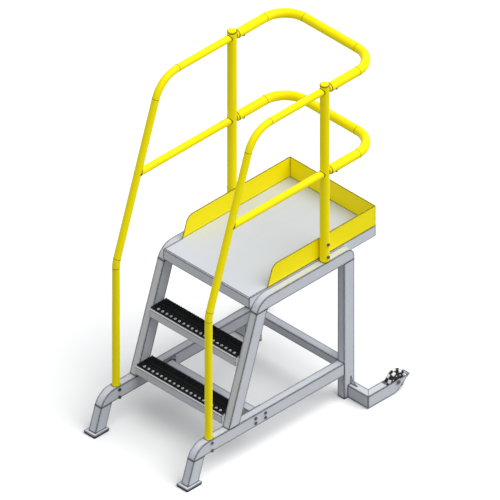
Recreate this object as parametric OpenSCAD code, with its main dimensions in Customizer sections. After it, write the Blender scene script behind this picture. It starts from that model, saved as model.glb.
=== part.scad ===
// Mobile ladder stand: two steps and a railed deck on welded tube side frames,
// tipped back to roll on two wheels. Millimetres, +Z up, +X to the climber's right,
// +Y away from the climber. The origin is on the floor, at the middle of the footprint.

/* [Side frames] */
// Distance between the middles of the two side frames
frame_pitch = 550; // [500:1:700]
// Width of the frame tube, across the stand
tube_w = 40; // [36:1:46]
// Depth of the frame tube, in the plane of the side frame
tube_h = 60; // [54:1:66]
// Wall of the frame tube
tube_wall = 3; // [2:0.5:4]
// Slope of the stringers and front legs from the floor, in degrees
slope = 72; // [70:0.5:76]
// Front face of a stringer, from the middle of the front foot, at the base rail
stringer_y = 216; // [200:1:240]
// Front face of the rear post, from the middle of the front foot
post_y = 901; // [860:1:940]
// Height of the top of the base rail
base_top = 185; // [170:1:200]
// Radius of the top rail's rear corner
rear_corner_r = 42; // [30:1:50]

/* [Feet] */
// Length of a foot plate
foot_len = 88; // [80:1:110]
// Width of a foot plate
foot_w = 66; // [56:1:80]
// Thickness of a foot plate
foot_plate_t = 5; // [4:0.5:8]
// Thickness of the rubber pad under a foot plate
foot_pad_t = 8; // [5:0.5:10]
// Thickness of the flange of a rear post's end plug
plug_t = 4; // [3:0.5:6]

/* [Cross beams] */
// Depth and height of the square cross beams
beam_s = 40; // [34:1:44]
// Middle of the front cross beam, from the middle of the front foot
front_beam_y = 403; // [380:1:430]
// Distance between the beam bolts, along the base rail
beam_bolt_span = 58; // [54:1:64]
// Distance between the beam bolts, up the base rail
beam_bolt_rise = 24; // [20:1:28]
// Thickness of the end plates of the front cross beam
end_plate_t = 6; // [4:0.5:8]

/* [Steps] */
// Rise from the floor to the first step, and from each step to the next
step_rise = 254; // [240:1:270]
// Depth of a step, front to back
step_d = 95; // [85:1:120]
// Height of the edge of a step's frame
step_h = 41; // [36:1:46]
// Width of the lips of a step's frame, under the tread
step_lip = 16; // [14:1:20]
// How far a step stands out in front of the stringers
step_lead = 27; // [20:1:32]
// Thickness of the sheet of a step
step_t = 2.5; // [2:0.5:4]
// Height of a tread, with its teeth, over its frame
tread_rise = 13; // [11:0.5:16]
// How far a tread stands back from the front of its frame
tread_inset = 7; // [5:0.5:9]
// Clearance between a tread's ends and the stringers
tread_gap = 1; // [0.5:0.5:3]
// Distance between the teeth of a tread
tooth_pitch = 12.5; // [10:0.5:16]
// Height of the teeth of a tread
tooth_h = 6; // [4:0.5:8]
// Number of toothed ribs across a tread
rib_count = 5; // [4:1:6]

/* [Deck] */
// Length of the deck, front to back
deck_len = 751; // [730:1:790]
// Outer radius of the bend along the deck's front edge
deck_r = 6; // [4:0.5:8]
// Height of the deck's edge
deck_h = 52; // [46:1:60]
// Thickness of the deck's sheet
deck_t = 3; // [2:0.5:4]
// How far the deck's surface stands above the top rails
deck_proud = 7; // [4:0.5:12]
// Height of the toe boards above the deck
toe_h = 102; // [90:1:120]
// Thickness of the toe boards
toe_t = 3; // [2:0.5:4]
// Where the side toe boards start, behind the front edge of the deck
toe_start = 110; // [90:1:130]
// Radius of the toe board's front top corner
toe_r = 40; // [20:1:50]

/* [Rails] */
// Diameter of the hand rails and mid rails
rail_d = 33.4; // [30:0.1:36]
// Wall of the hand rails and mid rails
rail_wall = 3; // [2:0.5:4]
// Diameter of the rail posts and of the rear guards
post_d = 42.2; // [40:0.1:46]
// Wall of the rail posts and of the rear guards
post_wall = 3.2; // [2.5:0.1:3.6]
// Height of the hand rail's middle above the deck
rail_up = 868; // [820:1:920]
// Distance from the hand rail down to the mid rail
mid_drop = 424; // [400:1:460]
// Hand rail's upright part, from the middle of the front foot
rail_y = 115; // [108:1:130]
// Height where the hand rail's upright part turns onto its slope
knee_z = 809; // [780:1:850]
// Bend radius of the hand rail
bend_r = 135; // [110:1:150]
// Middle of the rail post, from the middle of the front foot
rail_post_y = 804; // [780:1:830]
// How far the rail post stands above the middle of the hand rail
post_above = 32; // [24:1:40]
// Rear guard's middle line at the back, from the middle of the front foot
guard_y = 1118; // [1090:1:1140]
// Bend radius of the rear guards
guard_r = 120; // [100:1:130]
// Gap between a rail post and the end of a rear guard
guard_gap = 7; // [5:1:20]
// Length of spigot inside the end of a rear guard
spigot_in = 50; // [45:1:70]
// Clearance round a spigot in the bore of a rear guard
spigot_fit = 0.4; // [0.3:0.1:0.8]

/* [Wheel arms] */
// How far a wheel arm stands out from the side frame
arm_out = 122; // [110:1:150]
// Reach of a wheel arm behind the rear posts, at its top
arm_reach = 207; // [200:1:230]
// Reach of a wheel arm behind the rear posts, at its bottom
arm_low_reach = 123; // [115:1:130]
// Gap between a wheel arm and the floor
arm_clear = 4; // [3:0.5:6]
// Height and length of the gusset between post and arm
gusset_s = 38; // [30:1:50]
// Thickness of the gusset
gusset_t = 5; // [4:0.5:8]

/* [Wheels] */
// Diameter of a wheel over its rollers
wheel_d = 102; // [98:1:104]
// Middle of the wheel behind the rear posts
wheel_back = 138; // [136:1:142]
// Gap between a wheel and the floor, with the stand on its feet
wheel_clear = 2; // [1:0.5:4]
// Greatest diameter of a roller
roller_d = 15; // [14:0.5:15]
// Length of a roller
roller_len = 26; // [22:1:26]
// Number of rollers in each of a wheel's two rows
roller_count = 8; // [8:1:8]
// Diameter of a roller's pin
pin_d = 4; // [3:0.5:5]
// Diameter of the wheel's axle
axle_d = 10; // [8:0.5:12]
// Running clearance round the axle and the roller pins, on the radius
run_fit = 0.05; // [0.02:0.01:0.1]

/* [Fasteners] */
// Diameter of the frame bolts
bolt_d = 8; // [6:1:10]
// Clearance of a bolt in its hole, on the diameter
bolt_fit = 0.6; // [0.4:0.1:1]
// Clearance of the deck pan's notches round the rail posts
post_notch = 0.2; // [0.1:0.1:1]
// Height of the lower rail post bolt over the deck
post_bolt_low = 19; // [15:1:30]
// Height between the two rail post bolts
post_bolt_gap = 64; // [40:1:80]
// Diameter of the set screws under the rear guards
screw_d = 6; // [5:0.5:8]

/* [Hidden] */

// Finishes
frame_colour = [0.62, 0.65, 0.70];
deck_colour = [0.86, 0.88, 0.92];
rail_colour = [1.0, 0.93, 0.0];
black_colour = [0.06, 0.06, 0.07];
zinc_colour = [0.75, 0.76, 0.78];
roller_colour = [0.92, 0.92, 0.90];

// Smoothness of round surfaces, overrun of cuts past the faces that they open,
// overlap of two shapes that join, and how much a bend swells and laps onto its straights
$fn = 64;
eps = 1;
lap = 1;
bend_swell = 0.2;
bend_lap = 1;

// Facets of a toe board's rounded corner, and of the bend of the deck
toe_facets = 16;
bend_facets = 5;

// Side frames
cot_slope = cos(slope) / sin(slope);
side_x = frame_pitch / 2;
inner_x = side_x - tube_w / 2;
outer_x = side_x + tube_w / 2;
base_bottom = base_top - tube_h;
tube_run = tube_h / sin(slope);
nose_r = tube_h / (sin(slope) * tan(slope / 2));
leg_front = -tube_run / 2;
foot_top = foot_pad_t + foot_plate_t;
post_back = post_y + tube_h;

// Deck and top rail levels
deck_z = 3 * step_rise;
top_z = deck_z - deck_proud;
top_bottom = top_z - tube_h;
top_nose_y = stringer_y + (top_bottom - base_top) * cot_slope;

// Steps
tread_z = [step_rise, 2 * step_rise];
grate_t = 3;
rib_t = 2.5;
hole_r = 5;
tread_w = 2 * (inner_x - tread_gap);
tread_d = step_d - tread_inset;
tread_skirt = tread_rise - tooth_h;

// Deck
deck_y = stringer_y + (deck_z - base_top) * cot_slope - step_lead;
deck_back = deck_y + deck_len;
stiffener_w = 40;
stiffener_h = deck_h - deck_t - 8;
stiffener_count = 3;

// Rails
rail_r = rail_d / 2;
post_r = post_d / 2;
toe_x = side_x - post_r;
rail_z = deck_z + rail_up;
mid_z = rail_z - mid_drop;
knee_t = bend_r * tan((90 - slope) / 2);
crown_t = bend_r * tan(slope / 2);
crown_y = rail_y + (rail_z - knee_z) * cot_slope;
mid_front_y = rail_y + (mid_z - knee_z) * cot_slope;
post_top = rail_z + post_above;
cap_rim = 1;
cap_t = 5;
cap_in = 12;
guard_start = rail_post_y + post_r + guard_gap;
spigot_r = post_r - post_wall - spigot_fit;
screw_y = guard_start + spigot_in / 2;
screw_head_r = screw_d * 0.8;
screw_head_t = 3;
screw_turn = 60;

// Wheel arms
arm_x = outer_x + arm_out;
arm_front = post_back - tube_w;
arm_top = arm_clear + tube_h;
arm_end = post_back + arm_reach;
wheel_y = post_back + wheel_back;
wheel_r = wheel_d / 2;
wheel_z = wheel_clear + wheel_r;
wheel_x = arm_x - tube_w / 2;
slot_gap = 10;
bridge_gap = 4;

// Wheels
roller_r = roller_d / 2;
roller_end_r = roller_r - 1.7;
roller_ring = wheel_r - roller_r;
row_gap = 0.6;
row_x = (roller_d + row_gap) / 2;
hub_r = roller_ring - roller_r - 1.5;
hub_half = row_x + roller_r - 0.5;
spoke_t = 5;
spoke_r = roller_ring + pin_d / 2 + 2;
pin_half = (roller_ring - pin_d / 2) * tan(180 / roller_count) - 0.4;
cheek_gap = tube_w / 2 - tube_wall;
spacer_t = cheek_gap - hub_half - 0.3;

// Fasteners
head_r = bolt_d * 0.85;
head_t = bolt_d * 0.6;
nut_r = bolt_d * 0.95;
nut_t = bolt_d * 0.8;
rail_bolt_z = [base_bottom + tube_h / 10, base_top - tube_h / 4];
post_bolt_z = [deck_z + post_bolt_low, deck_z + post_bolt_low + post_bolt_gap];
beam_z = (base_bottom + base_top) / 2;

// The footprint, from the front edge of the foot pads to the ends of the wheel arms
mid_y = (arm_end - foot_len / 2) / 2;

module place() {
    translate([0, -mid_y, 0]) children();
}

module on_side(side) {
    place() mirror([side < 0 ? 1 : 0, 0, 0]) children();
}

// A plate in the plane of a side frame, drawn in (y, z), from x and t thick
module side_plate(x, t) {
    translate([x, 0, 0]) rotate([90, 0, 90]) linear_extrude(t) children();
}

// A cylinder along X
module x_rod(r, from, to, y, z) {
    translate([from, y, z]) rotate([0, 90, 0]) cylinder(r = r, h = to - from);
}

// A hexagon along X
module x_nut(r, from, to, y, z) {
    translate([from, y, z]) rotate([0, 90, 0]) cylinder(r = r, h = to - from, $fn = 6);
}

// The nose and body of a frame rail whose arc ends at bottom_y, inset on every face
module rail_outline(bottom_y, z_top, y_end, inset) {
    arc_y = bottom_y + nose_r * sin(slope);
    translate([arc_y, z_top - tube_h + inset]) square([y_end - arc_y, tube_h - 2 * inset]);
    intersection() {
        translate([arc_y, z_top - nose_r]) circle(r = nose_r - inset, $fn = 128);
        translate([arc_y - nose_r, z_top - tube_h + inset]) square([nose_r + lap, tube_h - inset]);
    }
}

module base_rail(side) {
    bolt_r = (bolt_d + bolt_fit) / 2;
    color(frame_colour) on_side(side) difference() {
        side_plate(inner_x, tube_w)
            rail_outline(leg_front + base_bottom * cot_slope, base_top, post_y, 0);
        side_plate(inner_x + tube_wall, tube_w - 2 * tube_wall)
            rail_outline(leg_front + base_bottom * cot_slope, base_top, post_y + eps, tube_wall);
        translate([side_x, rail_y, base_top - tube_wall - eps])
            cylinder(r = rail_r + bolt_fit / 2, h = tube_wall + 2 * eps);
        for (z = rail_bolt_z)
            x_rod(bolt_r, inner_x - eps, outer_x + eps, rail_y, z);
        for (dy = [-1, 1], dz = [-1, 1])
            x_rod(bolt_r, inner_x - eps, outer_x + eps,
                front_beam_y + dy * beam_bolt_span / 2, beam_z + dz * beam_bolt_rise / 2);
    }
}

// The top rail's outline, with its rear corner rounded, inset on every face
module top_outline(inset) {
    corner_y = post_back - rear_corner_r;
    corner_z = top_z - rear_corner_r;
    rail_outline(top_nose_y, top_z, corner_y, inset);
    translate([corner_y - lap, top_bottom + inset])
        square([rear_corner_r - inset + lap, corner_z - top_bottom - inset]);
    intersection() {
        translate([corner_y, corner_z]) circle(r = rear_corner_r - inset);
        translate([corner_y - lap, corner_z - lap]) square(rear_corner_r + lap);
    }
}

module top_rail(side) {
    color(frame_colour) on_side(side) difference() {
        side_plate(inner_x, tube_w) top_outline(0);
        side_plate(inner_x + tube_wall, tube_w - 2 * tube_wall) top_outline(tube_wall);
    }
}

// A sloping tube between two levels, its front face at y on the lower level
module sloped_tube(y, z_low, z_high) {
    run = (z_high - z_low) * cot_slope;
    wall_run = tube_wall / sin(slope);
    over = eps * cot_slope;
    difference() {
        side_plate(inner_x, tube_w) polygon([
            [y, z_low], [y + tube_run, z_low],
            [y + tube_run + run, z_high], [y + run, z_high]]);
        side_plate(inner_x + tube_wall, tube_w - 2 * tube_wall) polygon([
            [y + wall_run - over, z_low - eps],
            [y + tube_run - wall_run - over, z_low - eps],
            [y + tube_run - wall_run + run + over, z_high + eps],
            [y + wall_run + run + over, z_high + eps]]);
    }
}

module stringer(side) {
    color(frame_colour) on_side(side) sloped_tube(stringer_y, base_top, top_bottom);
}

module front_leg(side) {
    color(frame_colour) on_side(side)
        sloped_tube(leg_front + foot_top * cot_slope, foot_top, base_bottom);
}

module rear_post(side) {
    color(frame_colour) on_side(side) difference() {
        translate([inner_x, post_y, plug_t]) cube([tube_w, tube_h, top_bottom - plug_t]);
        translate([inner_x + tube_wall, post_y + tube_wall, plug_t - eps])
            cube([tube_w - 2 * tube_wall, tube_h - 2 * tube_wall, top_bottom + 2 * eps]);
    }
}

module foot_plate(side) {
    color(frame_colour) on_side(side)
        translate([side_x - foot_w / 2, -foot_len / 2, foot_pad_t])
            cube([foot_w, foot_len, foot_plate_t]);
}

module foot_pad(side) {
    color(black_colour) on_side(side)
        translate([side_x - foot_w / 2, -foot_len / 2, 0]) cube([foot_w, foot_len, foot_pad_t]);
}

module post_plug(side) {
    plug_up = 20;
    color(black_colour) on_side(side) {
        translate([inner_x, post_y, 0]) cube([tube_w, tube_h, plug_t]);
        translate([inner_x + tube_wall, post_y + tube_wall, plug_t])
            cube([tube_w - 2 * tube_wall, tube_h - 2 * tube_wall, plug_up]);
    }
}

// A square tube along X between the two sides
module cross_tube(half, y, z) {
    translate([-half, y - beam_s / 2, z - beam_s / 2]) difference() {
        cube([2 * half, beam_s, beam_s]);
        translate([-eps, tube_wall, tube_wall])
            cube([2 * (half + eps), beam_s - 2 * tube_wall, beam_s - 2 * tube_wall]);
    }
}

module front_cross_beam() {
    plate_len = beam_bolt_span + 3.5 * bolt_d;
    plate_h = tube_h - 2 * tube_wall;
    color(frame_colour) place() {
        cross_tube(inner_x - end_plate_t, front_beam_y, beam_z);
        for (side = [0, 1]) mirror([side, 0, 0]) difference() {
            translate([inner_x - end_plate_t, front_beam_y - plate_len / 2, beam_z - plate_h / 2])
                cube([end_plate_t, plate_len, plate_h]);
            for (dy = [-1, 1], dz = [-1, 1])
                x_rod((bolt_d + bolt_fit) / 2, inner_x - end_plate_t - eps, inner_x + eps,
                    front_beam_y + dy * beam_bolt_span / 2, beam_z + dz * beam_bolt_rise / 2);
        }
    }
}

module rear_cross_beam() {
    color(frame_colour) place()
        cross_tube(inner_x, post_y + beam_s / 2, base_top - beam_s / 2);
}

// A bolt along X, its head outside at to and its shank's end at from
module x_bolt(from, to, y, z) {
    x_rod(bolt_d / 2, from, to, y, z);
    x_rod(head_r, to, to + head_t, y, z);
}

// A nut along X with the bolt's bore, its outer face at from
module x_bored_nut(from, y, z) {
    difference() {
        x_nut(nut_r, from, from + nut_t, y, z);
        x_rod(bolt_d / 2, from - eps, from + nut_t + eps, y, z);
    }
}

module beam_bolts() {
    color(zinc_colour) place() for (side = [0, 1], dy = [-1, 1], dz = [-1, 1])
        mirror([side, 0, 0])
            x_bolt(inner_x - end_plate_t - nut_t - 2, outer_x,
                front_beam_y + dy * beam_bolt_span / 2, beam_z + dz * beam_bolt_rise / 2);
}

module beam_nuts() {
    color(zinc_colour) place() for (side = [0, 1], dy = [-1, 1], dz = [-1, 1])
        mirror([side, 0, 0])
            x_bored_nut(inner_x - end_plate_t - nut_t,
                front_beam_y + dy * beam_bolt_span / 2, beam_z + dz * beam_bolt_rise / 2);
}

// Front edge of the step whose top is at z
function nose_y(z) = stringer_y + (z - base_top) * cot_slope - step_lead;

module step_frame(z) {
    color(frame_colour) place() translate([0, nose_y(z), z - tread_rise - step_h]) difference() {
        translate([-inner_x, 0, 0]) cube([2 * inner_x, step_d, step_h]);
        translate([-inner_x + step_t, step_t, -eps])
            cube([2 * (inner_x - step_t), step_d - 2 * step_t, step_h - step_t + eps]);
        translate([-inner_x + step_lip, step_lip, -eps])
            cube([2 * (inner_x - step_lip), step_d - 2 * step_lip, step_h + 2 * eps]);
    }
}

// A rib with pointed teeth, standing on the tread at y
module toothed_rib(y) {
    teeth = floor(tread_w / tooth_pitch);
    points = [for (i = [0 : teeth - 1], p = [[0, 0.35], [0.5, 1], [1, 0.35]])
        if (i == teeth - 1 || p[0] < 1)
            [-tread_w / 2 + (i + p[0]) * tread_w / teeth, p[1] * tooth_h]];
    translate([0, y + rib_t / 2, 0]) rotate([90, 0, 0]) linear_extrude(rib_t)
        polygon(concat([[-tread_w / 2, -grate_t / 2]], points, [[tread_w / 2, -grate_t / 2]]));
}

// The toothed plank of a step, with a skirt along its front and rear, holes through its
// outer rows and shallow pockets between them
module tread(z) {
    rib_pitch = (tread_d - rib_t) / (rib_count - 1);
    hole_pitch = 2 * tooth_pitch;
    holes = floor((tread_w - hole_pitch) / hole_pitch);
    last_row = rib_count - 2;
    color(black_colour) place() translate([0, nose_y(z) + tread_inset, z - tooth_h]) {
        difference() {
            translate([-tread_w / 2, 0, -tread_skirt]) cube([tread_w, tread_d, tread_skirt]);
            translate([-tread_w / 2 - eps, rib_t, -tread_skirt - eps])
                cube([tread_w + 2 * eps, tread_d - 2 * rib_t, tread_skirt - grate_t + eps]);
            for (row = [0 : last_row], i = [0 : holes - 1]) {
                outer = row == 0 || row == last_row;
                depth = outer ? grate_t + 2 * eps : grate_t / 2 + eps;
                middle = row + (row == 0 ? 0.4 : row == last_row ? 0.6 : 0.5);
                translate([(i - (holes - 1) / 2 + (row % 2 == 0 ? 0.25 : -0.25)) * hole_pitch,
                    rib_t / 2 + middle * rib_pitch, eps - depth])
                    scale([0.75, 1.2, 1]) cylinder(r = hole_r, h = depth, $fn = 4);
            }
        }
        for (row = [0 : rib_count - 1]) toothed_rib(rib_t / 2 + row * rib_pitch);
    }
}

module deck_pan() {
    bend = [for (i = [0 : bend_facets]) let (a = 180 - 90 * i / bend_facets)
        [deck_r * (1 + cos(a)), deck_h + deck_r * (sin(a) - 1)]];
    color(deck_colour) place() translate([0, deck_y, deck_z - deck_h]) difference() {
        side_plate(-inner_x, 2 * inner_x)
            polygon(concat([[0, 0]], bend, [[deck_len, deck_h], [deck_len, 0]]));
        translate([-inner_x + deck_t, deck_t, -eps])
            cube([2 * (inner_x - deck_t), deck_len - 2 * deck_t, deck_h - deck_t + eps]);
        for (side = [-1, 1]) translate([side * side_x, rail_post_y - deck_y, top_z - deck_z + deck_h])
            cylinder(r = post_r + post_notch, h = deck_z - top_z + eps);
    }
}

module deck_stiffeners() {
    gap = (deck_len - 2 * deck_t) / (stiffener_count + 1);
    half = inner_x - deck_t;
    color(frame_colour) place() for (i = [1 : stiffener_count])
        translate([-half, deck_y + deck_t + i * gap - stiffener_w / 2,
            deck_z - deck_t - stiffener_h]) difference() {
            cube([2 * half, stiffener_w, stiffener_h]);
            translate([-eps, deck_t, -eps])
                cube([2 * (half + eps), stiffener_w - 2 * deck_t, stiffener_h - deck_t + eps]);
        }
}

module toe_board_side(side) {
    toe_y = deck_y + toe_start;
    toe_top = deck_z + toe_h;
    corner_y = toe_y + toe_h * cot_slope;
    arc_y = corner_y + toe_r * tan(slope / 2);
    arc_z = toe_top - toe_r;
    arc = [for (i = [0 : toe_facets]) let (a = 90 + slope * (1 - i / toe_facets))
        [arc_y + toe_r * cos(a), arc_z + toe_r * sin(a)]];
    color(rail_colour) on_side(side) difference() {
        side_plate(toe_x - toe_t, toe_t)
            polygon(concat([[toe_y, deck_z]], arc, [[deck_back, toe_top], [deck_back, deck_z]]));
        for (z = post_bolt_z)
            x_rod((bolt_d + bolt_fit) / 2, toe_x - toe_t - eps, toe_x + eps, rail_post_y, z);
    }
}

module toe_board_rear() {
    half = toe_x - toe_t;
    color(rail_colour) place() translate([-half, deck_back - toe_t, deck_z])
        cube([2 * half, toe_t, toe_h]);
}

// The straight and bent parts of the hand rail as solid rods of radius r. Each bend swells
// a little and laps onto its straights, as a bent tube does where the former held it.
module handrail_rods(r, low_z, end_y) {
    knee = [rail_y, knee_z];
    slope_start = [knee[0] + knee_t * cos(slope), knee_z + knee_t * sin(slope)];
    slope_end = [crown_y - crown_t * cos(slope), rail_z - crown_t * sin(slope)];
    slope_len = norm(slope_end - slope_start);
    translate([side_x, rail_y, low_z]) cylinder(r = r, h = knee_z - knee_t - low_z);
    translate([side_x, slope_start[0], slope_start[1]])
        rotate([-(90 - slope), 0, 0]) cylinder(r = r, h = slope_len);
    translate([side_x, crown_y + crown_t, rail_z])
        rotate([-90, 0, 0]) cylinder(r = r, h = end_y - crown_y - crown_t);
    translate([side_x, rail_y + bend_r, knee_z - knee_t])
        rotate([90, 0, 90]) rotate([0, 0, 90 + slope - bend_lap])
            rotate_extrude(angle = 90 - slope + 2 * bend_lap)
                translate([bend_r, 0]) circle(r = r + bend_swell);
    translate([side_x, crown_y + crown_t, rail_z - bend_r])
        rotate([90, 0, 90]) rotate([0, 0, 90 - bend_lap])
            rotate_extrude(angle = slope + 2 * bend_lap)
                translate([bend_r, 0]) circle(r = r + bend_swell);
}

module handrail(side) {
    low_z = base_bottom + tube_wall;
    color(rail_colour) on_side(side) difference() {
        handrail_rods(rail_r, low_z, rail_post_y);
        handrail_rods(rail_r - rail_wall, low_z - eps, rail_post_y + eps);
        translate([side_x, rail_post_y, rail_z - post_d]) cylinder(r = post_r, h = 2 * post_d);
        for (z = rail_bolt_z)
            x_rod((bolt_d + bolt_fit) / 2, inner_x, outer_x, rail_y, z);
    }
}

module mid_rail(side) {
    color(rail_colour) on_side(side) difference() {
        translate([side_x, mid_front_y, mid_z])
            rotate([-90, 0, 0]) cylinder(r = rail_r, h = rail_post_y - mid_front_y);
        translate([side_x, mid_front_y - eps, mid_z])
            rotate([-90, 0, 0])
                cylinder(r = rail_r - rail_wall, h = rail_post_y - mid_front_y + 2 * eps);
        translate([side_x, rail_post_y, mid_z - post_d]) cylinder(r = post_r, h = 2 * post_d);
        translate([side_x, mid_front_y, mid_z]) rotate([-(90 - slope), 0, 0])
            translate([0, 0, -post_d]) cylinder(r = rail_r, h = 2 * post_d);
    }
}

module rail_post(side) {
    color(rail_colour) on_side(side) difference() {
        translate([side_x, rail_post_y, top_z]) cylinder(r = post_r, h = post_top - cap_t - top_z);
        translate([side_x, rail_post_y, top_z - eps])
            cylinder(r = post_r - post_wall, h = post_top - top_z);
        for (z = post_bolt_z)
            x_rod((bolt_d + bolt_fit) / 2, side_x - post_d, side_x + post_d, rail_post_y, z);
    }
}

module post_caps() {
    color(rail_colour) for (side = [-1, 1]) on_side(side)
        translate([side_x, rail_post_y, post_top]) {
            translate([0, 0, -cap_t]) cylinder(r = post_r + cap_rim / 2, h = cap_t - cap_rim);
            translate([0, 0, -cap_rim])
                cylinder(r1 = post_r + cap_rim / 2, r2 = post_r - cap_rim, h = cap_rim);
            translate([0, 0, -cap_t - cap_in]) cylinder(r = post_r - post_wall, h = cap_in);
        }
}

module handrail_bolts() {
    color(zinc_colour) for (side = [-1, 1], z = rail_bolt_z) on_side(side)
        x_bolt(inner_x - nut_t - 2, outer_x, rail_y, z);
}

module handrail_nuts() {
    color(zinc_colour) for (side = [-1, 1], z = rail_bolt_z) on_side(side)
        x_bored_nut(inner_x - nut_t, rail_y, z);
}

module rail_post_bolts() {
    color(zinc_colour) for (side = [-1, 1], z = post_bolt_z) on_side(side)
        x_bolt(toe_x - toe_t - nut_t - 2, side_x + post_r, rail_post_y, z);
}

module rail_post_nuts() {
    color(zinc_colour) for (side = [-1, 1], z = post_bolt_z) on_side(side)
        x_bored_nut(toe_x - toe_t - nut_t, rail_post_y, z);
}

// The spigots on the backs of the rail posts, which the rear guards slide onto
module guard_spigots() {
    color(rail_colour) for (side = [-1, 1], z = [rail_z, mid_z]) difference() {
        on_side(side) difference() {
            translate([side_x, rail_post_y, z]) rotate([-90, 0, 0])
                cylinder(r = spigot_r, h = guard_start + spigot_in - rail_post_y);
            translate([side_x, rail_post_y, z]) rotate([-90, 0, 0])
                cylinder(r = spigot_r - rail_wall, h = guard_start + spigot_in - rail_post_y + eps);
            translate([side_x, rail_post_y, z - post_d]) cylinder(r = post_r, h = 2 * post_d);
        }
        place() screw_hole(side, z);
    }
}

// Sets what points down from the origin on the middle line of a rear guard's end, turned
// out from below so that the screws of both sides are reached from +X
module at_screw(side, z) {
    translate([side * side_x, screw_y, z]) rotate([0, -screw_turn, 0]) children();
}

module screw_hole(side, z) {
    at_screw(side, z) translate([0, 0, -post_d]) cylinder(r = screw_d / 2, h = post_d);
}

// The middle line of a rear guard as solid rods of radius r
module guard_rods(r, start) {
    corner_y = guard_y - guard_r;
    corner_x = side_x - guard_r;
    for (side = [0, 1]) mirror([side, 0, 0]) {
        translate([side_x, start, 0]) rotate([-90, 0, 0]) cylinder(r = r, h = corner_y - start);
        translate([corner_x, corner_y, 0]) rotate_extrude(angle = 90)
            translate([guard_r, 0]) circle(r = r);
    }
    translate([-corner_x, guard_y, 0]) rotate([0, 90, 0]) cylinder(r = r, h = 2 * corner_x);
}

module guard(z) {
    color(rail_colour) place() translate([0, 0, z]) difference() {
        guard_rods(post_r, guard_start);
        guard_rods(post_r - post_wall, guard_start - eps);
        for (side = [-1, 1]) screw_hole(side, 0);
    }
}

module guard_screws() {
    color(zinc_colour) place() for (side = [-1, 1], z = [rail_z, mid_z]) at_screw(side, z) {
        translate([0, 0, -post_r]) cylinder(r = screw_d / 2, h = post_r - spigot_r + rail_wall);
        translate([0, 0, -post_r - screw_head_t]) cylinder(r = screw_head_r, h = screw_head_t);
    }
}

// The wheel arm seen from above, inset on its long faces
module arm_plan(inset) {
    out = inset > 0 ? eps : 0;
    translate([outer_x - out, arm_front + inset])
        square([arm_out - inset + out, tube_w - 2 * inset]);
    translate([arm_x - tube_w + inset, arm_front + inset])
        square([tube_w - 2 * inset, arm_end + out - arm_front - inset]);
}

module wheel_arm(side) {
    slot_y = wheel_y - wheel_r - slot_gap;
    bridge_y = wheel_y + wheel_r + bridge_gap;
    slot_w = tube_w - 2 * tube_wall;
    low_end = post_back + arm_low_reach;
    color(frame_colour) on_side(side) difference() {
        translate([0, 0, arm_clear]) linear_extrude(tube_h) arm_plan(0);
        translate([0, 0, arm_clear + tube_wall]) linear_extrude(tube_h - 2 * tube_wall)
            arm_plan(tube_wall);
        translate([wheel_x - slot_w / 2, slot_y, arm_top - tube_wall - eps])
            cube([slot_w, bridge_y - slot_y, tube_wall + 2 * eps]);
        translate([wheel_x - slot_w / 2, slot_y, arm_clear - eps])
            cube([slot_w, arm_end - slot_y + eps, tube_wall + 2 * eps]);
        side_plate(arm_x - tube_w - eps, tube_w + 2 * eps) polygon([
            [low_end, arm_clear - eps], [arm_end + eps, arm_clear - eps],
            [arm_end + eps, arm_top + eps], [arm_end, arm_top], [low_end, arm_clear]]);
        x_rod(axle_d / 2, arm_x - tube_w - eps, arm_x + eps, wheel_y, wheel_z);
    }
}

module arm_gussets() {
    middle = (arm_front + post_back) / 2;
    color(frame_colour) for (side = [-1, 1]) on_side(side)
        translate([outer_x, middle + gusset_t / 2, arm_top]) rotate([90, 0, 0])
            linear_extrude(gusset_t) polygon([[0, 0], [gusset_s, 0], [0, gusset_s]]);
}

module axle(side) {
    head = axle_d * 0.6;
    color(zinc_colour) on_side(side) {
        x_rod(axle_d / 2, arm_x - tube_w - axle_d, arm_x, wheel_y, wheel_z);
        x_rod(axle_d * 0.8, arm_x, arm_x + head, wheel_y, wheel_z);
    }
}

module axle_nuts() {
    nut = axle_d * 0.8;
    color(zinc_colour) for (side = [-1, 1]) on_side(side) difference() {
        x_nut(axle_d * 0.95, arm_x - tube_w - nut, arm_x - tube_w, wheel_y, wheel_z);
        x_rod(axle_d / 2, arm_x - tube_w - nut - eps, arm_x - tube_w + eps, wheel_y, wheel_z);
    }
}

module wheel_spacers() {
    color(zinc_colour) for (side = [-1, 1], end = [0, 1]) on_side(side)
        translate([wheel_x, wheel_y, wheel_z]) mirror([end, 0, 0]) difference() {
            x_rod(axle_d * 0.9, cheek_gap - spacer_t, cheek_gap, 0, 0);
            x_rod(axle_d / 2, cheek_gap - spacer_t - eps, cheek_gap + eps, 0, 0);
        }
}

// Puts a thing at each roller's place, its axis along Y and the wheel's axle along X
module at_rollers() {
    for (row = [0, 1], i = [0 : roller_count - 1])
        rotate([(i + row / 2) * 360 / roller_count, 0, 0])
            translate([(row == 0 ? -1 : 1) * row_x, 0, roller_ring]) children();
}

module wheel_hub(side) {
    color(frame_colour) on_side(side) translate([wheel_x, wheel_y, wheel_z]) difference() {
        union() {
            x_rod(hub_r, -hub_half, hub_half, 0, 0);
            for (row = [0, 1], i = [0 : roller_count - 1])
                rotate([(i + row / 2 + 0.5) * 360 / roller_count, 0, 0])
                    translate([row == 0 ? -hub_half : row_gap / 2, -spoke_t / 2, hub_r - spoke_t])
                        cube([hub_half - row_gap / 2, spoke_t, spoke_r - hub_r + spoke_t]);
        }
        at_rollers() translate([0, -pin_half, 0]) rotate([-90, 0, 0])
            cylinder(r = pin_d / 2, h = 2 * pin_half);
        x_rod(axle_d / 2 + run_fit, -hub_half - eps, hub_half + eps, 0, 0);
    }
}

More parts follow.
